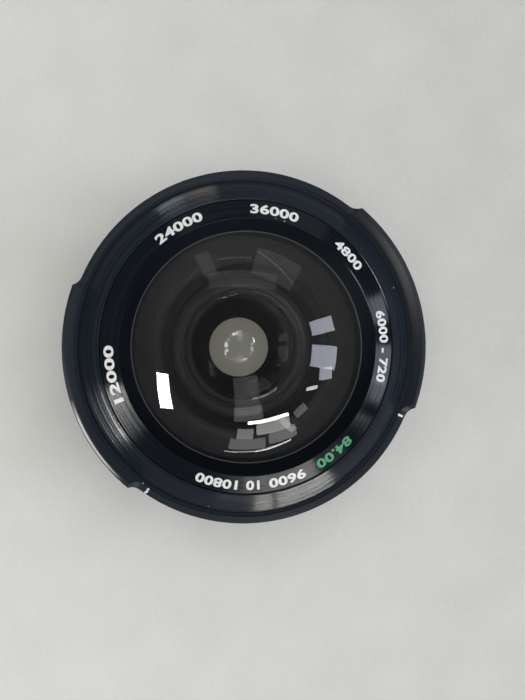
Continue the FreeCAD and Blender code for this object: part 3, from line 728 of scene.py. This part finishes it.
# %% Adapter ring
adapter_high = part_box("adapter_ring")[1]
THREAD_RADIUS = 26.0 * MM
THREAD_LENGTH = 3.0 * MM
THREAD_PITCH = 0.75 * MM
THREAD_DEPTH = 0.42 * MM
THREAD_ROWS = 40
ADAPTER_BORE = 24.0 * MM
SOCKET_RADIUS = 27.15 * MM
SOCKET_FLOOR = 5.6 * MM
SHOULDER = 3.5 * MM
RELIEF_DEPTH = 0.4 * MM
KNURL_COUNT = 84
KNURL_DEPTH = 0.5 * MM
KNURL_MARGIN = 0.8 * MM
KNURL_STEPS = 8
RUNOUT = 0.1 * MM
EDGE_BREAK = 0.25 * MM
adapter_rim = adapter_high.x
thread_rows = [
    THREAD_DEPTH + (THREAD_LENGTH - THREAD_DEPTH) * row / THREAD_ROWS for row in range(THREAD_ROWS + 1)]
adapter_profile = [
    (ADAPTER_BORE, EDGE_BREAK), (ADAPTER_BORE + EDGE_BREAK, 0), (THREAD_RADIUS - THREAD_DEPTH, 0)]
adapter_profile += [(THREAD_RADIUS, height) for height in thread_rows]
adapter_profile += [
    (THREAD_RADIUS - RELIEF_DEPTH, THREAD_LENGTH + RUNOUT / 2),
    (THREAD_RADIUS - RELIEF_DEPTH, SHOULDER),
    (adapter_rim - EDGE_BREAK, SHOULDER),
    (adapter_rim, SHOULDER + EDGE_BREAK),
    (adapter_rim, SHOULDER + KNURL_MARGIN),
    (adapter_rim, SHOULDER + KNURL_MARGIN + RUNOUT),
    (adapter_rim, adapter_high.z - KNURL_MARGIN - RUNOUT),
    (adapter_rim, adapter_high.z - KNURL_MARGIN),
    (adapter_rim, adapter_high.z - EDGE_BREAK),
    (adapter_rim - EDGE_BREAK, adapter_high.z),
    (SOCKET_RADIUS, adapter_high.z),
    (SOCKET_RADIUS, SOCKET_FLOOR),
    (ADAPTER_BORE, SOCKET_FLOOR),
    (ADAPTER_BORE, EDGE_BREAK),
]
adapter = lathe(
    "adapter_body", adapter_profile, KNURL_COUNT * KNURL_STEPS, SHELL_METAL,
    thread_pitch=THREAD_PITCH, thread_depth=THREAD_DEPTH, thread_radius=THREAD_RADIUS,
    thread_bottom=THREAD_DEPTH + TOUCH, thread_top=THREAD_LENGTH - TOUCH,
    knurl_count=KNURL_COUNT, knurl_depth=KNURL_DEPTH, knurl_radius=adapter_rim,
    knurl_bottom=SHOULDER + KNURL_MARGIN + RUNOUT / 2, knurl_top=adapter_high.z - KNURL_MARGIN - RUNOUT / 2,
)
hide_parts("adapter_ring")
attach(adapter, "root")

# %% [markdown]
# ## The numbers round the glass
#
# The sloping front ring carries bold white figures, filled into shallow engraving, with their feet
# towards the glass. They are plain numbers of a dial. Text could be bent with a Curve modifier, but the
# ring's face is a cone, and a rule of angle and distance lays the letters on it exactly: along the line
# becomes round the axis, up the letter becomes away from the axis, and the height follows the slope.

# %% The wrapping tree
ring_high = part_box("name_ring")[1]
FACE_BREAK = 0.2 * MM
FACE_INNER = 27.6 * MM + FACE_BREAK
FACE_OUTER = ring_high.x - FACE_BREAK
FACE_INNER_HEIGHT = ring_high.z
FACE_OUTER_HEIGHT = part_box("front_shell")[1].z
FACE_SLOPE = (FACE_OUTER_HEIGHT - FACE_INNER_HEIGHT) / (FACE_OUTER - FACE_INNER)
FIGURE_FEET = 28.75 * MM
FIGURE_HEIGHT = 2.25 * MM


def make_wrap():
    """Lay flat lettering in X and Y on a cone round Z, its middle at a heading."""
    number = "NodeSocketFloat"
    tree = new_group("wrap_on_cone", "GeometryNodeTree", [
        ("Lettering", "INPUT", "NodeSocketGeometry", None),
        ("Heading", "INPUT", number, 0.0),
        ("Feet", "INPUT", number, 0.03),
        ("Height", "INPUT", number, 0.002),
        ("Slope", "INPUT", number, 0.0),
        ("Cone Radius", "INPUT", number, 0.03),
        ("Cone Height", "INPUT", number, 0.03),
        ("Material", "INPUT", "NodeSocketMaterial", None),
        ("Wrapped", "OUTPUT", "NodeSocketGeometry", None),
    ])
    entry = add(tree, "NodeGroupInput").outputs
    parts = axes_of(tree, add(tree, "GeometryNodeInputPosition").outputs[0])
    away = calc(tree, "ADD", entry["Feet"], parts["Y"])
    middle = calc(tree, "MULTIPLY_ADD", entry["Height"], 0.5, entry["Feet"])
    turn = calc(tree, "SUBTRACT", entry["Heading"], calc(tree, "DIVIDE", parts["X"], middle))
    drop = calc(tree, "MULTIPLY", calc(tree, "SUBTRACT", away, entry["Cone Radius"]), entry["Slope"])
    level = calc(tree, "ADD", calc(tree, "ADD", entry["Cone Height"], drop), parts["Z"])
    placed = add(tree, "GeometryNodeSetPosition", {
        "Geometry": entry["Lettering"], "Position": round_axis(tree, away, turn, level)}).outputs[0]
    return end_tree(tree, placed, entry["Material"], "Wrapped")


WRAP = make_wrap()


# %% Paint of the figures
PAINT_WEAR = (-0.6, 1.2)
PAINT_ROUGHNESS = (0.40, 0.60)


def filled_paint(name, clean, worn):
    """Enamel in an engraving: nearly even, a little thin and grey in places."""
    material, tree, shader = new_material(name)
    thin = mottle(tree, own_place(tree), scale=900.0, detail=3.0)
    tree.links.new(blend(tree, span(tree, thin, *PAINT_WEAR), clean, worn), shader.inputs["Base Color"])
    tree.links.new(span(tree, thin, *PAINT_ROUGHNESS), shader.inputs["Roughness"])
    return material


WHITE_FILL = filled_paint("white_fill", (0.80, 0.80, 0.78, 1), (0.62, 0.62, 0.62, 1))
GREEN_FILL = filled_paint("green_fill", (0.042, 0.32, 0.13, 1), (0.03, 0.20, 0.085, 1))

# %% Setting the figures
FIGURES = (
    # the numbers, the heading of their middle and the angle that they fill in degrees, their paint
    ("12000", 86.3, 24.0, WHITE_FILL),
    ("24000", 14.9, 21.6, WHITE_FILL),
    ("36000", 333.4, 20.6, WHITE_FILL),
    ("4800", 297.1, 15.0, WHITE_FILL),
    ("6000 - 720", 255.2, 30.0, WHITE_FILL),
    ("84.00", 204.6, 17.8, GREEN_FILL),
    ("9600", 181.9, 15.8, WHITE_FILL),
    ("10", 167.2, 5.6, WHITE_FILL),
    ("10800", 151.9, 17.8, WHITE_FILL),
)
BOLDNESS = 0.10 * MM
INK_RISE = 0.02 * MM
CAPITAL_SHARE = 0.73
LETTER_GAP = 1.05


def flat_figures(text, length):
    """Give a flat mesh of bold figures, this long in all, centred on X and standing on Y 0."""
    curve = bpy.data.curves.new("figures", "FONT")
    curve.body = text
    curve.size = (FIGURE_HEIGHT - 2 * BOLDNESS) / CAPITAL_SHARE
    curve.space_character = LETTER_GAP
    curve.offset = BOLDNESS
    curve.extrude = INK_RISE
    curve.resolution_u = 6
    holder = bpy.data.objects.new("figures", curve)
    bpy.context.scene.collection.objects.link(holder)
    ready = holder.evaluated_get(bpy.context.evaluated_depsgraph_get())
    mesh = bpy.data.meshes.new_from_object(ready)
    bpy.data.objects.remove(holder)
    left = min(vertex.co.x for vertex in mesh.vertices)
    right = max(vertex.co.x for vertex in mesh.vertices)
    foot = min(vertex.co.y for vertex in mesh.vertices)
    mesh.transform(Matrix.Translation((-(left + right) / 2, -foot, 0)))
    mesh.transform(Matrix.Diagonal((length / (right - left), 1, 1, 1)))
    print(text, "stretched to", round(length / (right - left), 2), "of its own width")
    return mesh


for position, (text, heading, filled, paint) in enumerate(FIGURES):
    length = math.radians(filled) * (FIGURE_FEET + FIGURE_HEIGHT / 2)
    figures = grow(f"figures_{position + 1}", flat_figures(text, length), WRAP, {
        "Heading": math.radians(heading), "Feet": FIGURE_FEET, "Height": FIGURE_HEIGHT, "Slope": FACE_SLOPE,
        "Cone Radius": FACE_INNER, "Cone Height": FACE_INNER_HEIGHT, "Material": paint})
    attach(figures, "root")
print("groups of figures:", len(FIGURES))

# %% [markdown]
# ## The paper
#
# The lens stands on a sheet of white paper. Paper is matt and nearly even, with a faint cloud of fibre; a
# slow slope of painted light makes the sheet lighter on one side and darker on the other. Behind glass the
# camera sees it too, so rays that have come through glass find the paper glowing a steady grey, a painted
# light for the paper under the barrel, which has only the light that falls through the lens.


# %% Paper floor
GLOW_SEEN_THROUGH_GLASS = 0.132
PAPER_DARK = (0.38, 0.38, 0.359, 1)
PAPER_PALE = (0.78, 0.78, 0.74, 1)
PAPER_LEVEL = 0.44
PAPER_CONTRAST = 0.5
PAPER_PAINTED_LIGHT_SLOPE = (-0.28, 2.04, 0)
PAPER_RELIEF = 0.15 * MM
FIBRE_SHARE = 0.45


def paper_material():
    """Warm white paper, with fibre, a soft waviness, a painted slope of light and a painted glow behind
    glass.
    """
    material, tree, shader = new_material("paper")
    place = own_place(tree)
    fibre = add(tree, "ShaderNodeTexNoise", {
        "Vector": place, "Scale": 900.0, "Detail": 6.0, "Roughness": 0.7}).outputs["Fac"]
    cloud = mottle(tree, place, scale=60.0, detail=4.0)
    tone = calc(tree, "ADD", calc(tree, "MULTIPLY", fibre, FIBRE_SHARE),
                calc(tree, "MULTIPLY", cloud, 1 - FIBRE_SHARE))
    # painted light: the paper's colour rises along a slope across the sheet, for light that falls unevenly on
    # it
    level = calc(tree, "ADD", measure(tree, "DOT_PRODUCT", place, PAPER_PAINTED_LIGHT_SLOPE), PAPER_LEVEL)
    shade = calc(tree, "ADD", calc(tree, "MULTIPLY", tone, PAPER_CONTRAST), level)
    colour = blend(tree, shade, PAPER_DARK, PAPER_PALE)
    bump = add(tree, "ShaderNodeBump", {"Height": tone, "Distance": PAPER_RELIEF, "Strength": 0.5})
    tree.links.new(colour, shader.inputs["Base Color"])
    tree.links.new(bump.outputs[0], shader.inputs["Normal"])
    shader.inputs["Roughness"].default_value = 0.9
    path = add(tree, "ShaderNodeLightPath")
    # painted light: rays that come through glass see the paper glow a steady grey
    painted_glow = calc(tree, "MULTIPLY", path.outputs["Is Transmission Ray"], GLOW_SEEN_THROUGH_GLASS)
    shader.inputs["Emission Color"].default_value = (1.0, 0.955, 0.88, 1)
    tree.links.new(painted_glow, shader.inputs["Emission Strength"])
    return material


FLOOR_SIZE = 6.0
floor_mesh = bpy.data.meshes.new("paper_floor")
half = FLOOR_SIZE / 2
floor_mesh.from_pydata(
    [(-half, -half, 0), (half, -half, 0), (half, half, 0), (-half, half, 0)], [], [(0, 1, 2, 3)])
floor = bpy.data.objects.new("paper_floor", floor_mesh)
floor_mesh.materials.append(paper_material())
bpy.context.scene.collection.objects.link(floor)

# %% [markdown]
# ## Light
#
# Shiny black things show little but what they mirror, so the lamps are placed by their reflections: each
# softbox stands where the dome of the front glass throws its image to the camera's eye. A softbox is a
# heading, an elevation and a size, all seen from the lens. The brightest ones are small and low, and would
# light one side of the white figures only, so they show in shiny surfaces and nowhere else. A large panel
# overhead and a smaller one at the left give the matt surfaces their even light, and a pale world fills
# the rest.

# %% Softboxes
PHOTO_TURN = 105.1
LAMP_RING = 0.9
POWER_FACTOR = 4
AIM = Vector((0, 0, 36 * MM))


def softbox(name, heading, elevation, wide, high, radiance, colour, roll, surfaces):
    """A rectangle of light: place, size and roll in degrees as the lens sees it, and what it lights."""
    lamp = bpy.data.lights.new(name, "AREA")
    lamp.shape = "RECTANGLE"
    lamp.size = 2 * LAMP_RING * math.tan(math.radians(wide) / 2)
    lamp.size_y = 2 * LAMP_RING * math.tan(math.radians(high) / 2)
    lamp.energy = radiance * lamp.size * lamp.size_y * POWER_FACTOR
    lamp.color = colour
    holder = bpy.data.objects.new(name, lamp)
    turn, lift = math.radians(heading - PHOTO_TURN), math.radians(elevation)
    outwards = Vector((math.cos(turn) * math.cos(lift), math.sin(turn) * math.cos(lift), math.sin(lift)))
    holder.location = AIM + outwards * LAMP_RING
    facing = outwards.to_track_quat("Z", "Y").to_matrix().to_4x4()
    rolled = facing @ Matrix.Rotation(math.radians(roll), 4, "Z")
    holder.matrix_world = Matrix.Translation(holder.location) @ rolled
    holder.visible_camera = False
    holder.visible_diffuse = surfaces != "mirrored"
    holder.visible_glossy = holder.visible_transmission = surfaces != "matt"
    bpy.context.scene.collection.objects.link(holder)


# %% Lamps
PANEL_WHITE = (1.0, 0.99, 0.98)
PLAIN = (1.0, 1.0, 1.0)
LEFT_WHITE = (1.0, 0.99, 0.97)
CREAM = (1.0, 0.98, 0.92)
WINDOW_WHITE = (1.0, 0.98, 0.95)
STRAW = (1.0, 0.95, 0.84)
IVORY = (1.0, 0.98, 0.93)
SKY_BLUE = (0.82, 0.86, 1.0)
EVENING = (1.0, 0.82, 0.66)
MORNING = (0.84, 0.94, 1.0)
GREY_WALL = (1.0, 1.0, 0.97)
COOL_WHITE = (0.97, 0.98, 1.0)
LAMPS = (
    # name, heading, elevation, width, height, radiance, colour, roll,
    # and what it lights: all surfaces, matt ones alone, or shiny ones alone, where it is mirrored
    ("overhead", 105, 84, 60, 60, 1.6, PANEL_WHITE, 0, "matt"),
    ("left_fill", 195, 30, 40, 20, 0.9, PLAIN, 0, "matt"),
    ("left_window", 210.8, 28.2, 22, 8.7, 44.0, LEFT_WHITE, -28, "mirrored"),
    ("low_window_edge", 292.5, 36.0, 25, 2.4, 30.0, CREAM, -10, "mirrored"),
    ("low_window_first", 275, 29.0, 9.5, 8.0, 2.4, WINDOW_WHITE, -5, "mirrored"),
    ("low_window_second", 294.5, 30.0, 20, 9.0, 3.6, WINDOW_WHITE, -10, "mirrored"),
    ("low_pane_first", 276.5, 20.5, 20, 8.6, 1.5, WINDOW_WHITE, -5, "mirrored"),
    ("low_pane_second", 298, 20.5, 16, 9.0, 1.7, WINDOW_WHITE, -10, "mirrored"),
    ("low_sill_first", 272, 14.5, 16, 0.8, 7.0, WINDOW_WHITE, 0, "mirrored"),
    ("low_sill_second", 291, 14.0, 20, 1.4, 10.0, WINDOW_WHITE, 0, "mirrored"),
    ("low_glow_first", 283, 1.4, 6.5, 6, 17.0, STRAW, 0, "mirrored"),
    ("low_glow_second", 298.5, 1.4, 21, 6, 19.0, IVORY, 0, "mirrored"),
    ("right_window_first", 14, 31, 8.5, 18.5, 5.2, SKY_BLUE, 0, "all"),
    ("right_window_second", 353.5, 31, 13, 20, 5.2, SKY_BLUE, 0, "all"),
    ("right_window_third", 343.5, 27, 7, 10, 5.2, SKY_BLUE, 20, "all"),
    ("upper_window_warm", 100, -1.2, 11, 2.0, 12.0, EVENING, 0, "mirrored"),
    ("upper_window_cool", 112, -1.2, 11, 2.0, 18.0, MORNING, 0, "mirrored"),
    ("grey_panel", 278, 56.5, 16, 27, 0.6, GREY_WALL, 0, "all"),
    ("grey_panel_foot", 278, 44, 18, 10, 0.95, GREY_WALL, 0, "all"),
    ("ceiling_right", 64, 29, 26, 22, 0.32, WINDOW_WHITE, 0, "all"),
    ("ceiling_left", 110.5, 27, 8, 20, 0.34, WINDOW_WHITE, 0, "all"),
    ("ceiling_deep", 87, 43, 42, 12, 0.32, WINDOW_WHITE, 0, "all"),
    ("ceiling_line", 64, 27.5, 28, 0.7, 1.2, PLAIN, -25, "all"),
    ("ceiling_shelf", 92, 27, 19, 1.0, 0.5, COOL_WHITE, 0, "all"),
    ("corner_glint", 331, 32.5, 2.2, 8, 9.0, PLAIN, 35, "mirrored"),
    ("corner_first", 315, 28.7, 8, 6, 1.4, PLAIN, 0, "all"),
    ("corner_second", 303, 26, 4, 14, 2.0, PLAIN, 15, "all"),
)
for lamp_row in LAMPS:
    softbox(*lamp_row)
print("lamps:", len(LAMPS))

# %% World
SKY_COLOUR = (0.95, 0.97, 1.0, 1)
SKY_STRENGTH = 0.13
world = bpy.data.worlds.new("studio")
world.use_nodes = True
background = world.node_tree.nodes["Background"]
background.inputs["Color"].default_value = SKY_COLOUR
background.inputs["Strength"].default_value = SKY_STRENGTH
bpy.context.scene.world = world
bpy.context.scene.view_settings.view_transform = "Standard"

# %% [markdown]
# ## Camera
#
# The photograph was taken from close above and a little to one side, so the deeper rings of the lens
# slide towards that side, and yet every ring is nearly a true circle: the film lay almost level with the
# lens. So the camera stands where the slide says, looks almost straight down, and its frame is shifted
# sideways, as a view camera does, to bring the lens back into it.

# %% Camera
IMAGE_HEIGHT = 700
FOCAL_PIXELS = 852.0
CAMERA_DISTANCE = 183.0 * MM
CAMERA_LEAN = math.radians(7.0)
CAMERA_TILT = math.radians(3.28)
CAMERA_PITCH = math.radians(0.20)
FRAME_SHIFT = 0.1
SENSOR = 36.0


def photo_heading(degrees):
    """The direction in the frame of a heading in the photograph, whose 0 is right and 90 is up."""
    turn = math.radians(degrees - PHOTO_TURN)
    return Vector((math.cos(turn), math.sin(turn), 0))


camera_data = bpy.data.cameras.new("camera")
camera_data.sensor_fit = "AUTO"
camera_data.sensor_width = SENSOR
camera_data.lens = FOCAL_PIXELS / IMAGE_HEIGHT * SENSOR
camera_data.shift_x = FRAME_SHIFT
camera_data.clip_start = 10 * MM
camera = bpy.data.objects.new("camera", camera_data)
lean = photo_heading(180) * math.sin(CAMERA_LEAN) + Vector((0, 0, math.cos(CAMERA_LEAN)))
down = Vector((0, 0, -1))
sight = down + photo_heading(0) * math.tan(CAMERA_TILT) - photo_heading(90) * math.tan(CAMERA_PITCH)
sight.normalize()
across = sight.cross(photo_heading(90)).normalized()
upwards = across.cross(sight)
axes = Matrix((across, upwards, -sight)).transposed().to_4x4()
camera.matrix_world = Matrix.Translation(AIM + lean * CAMERA_DISTANCE) @ axes
bpy.context.scene.collection.objects.link(camera)
bpy.context.scene.camera = camera
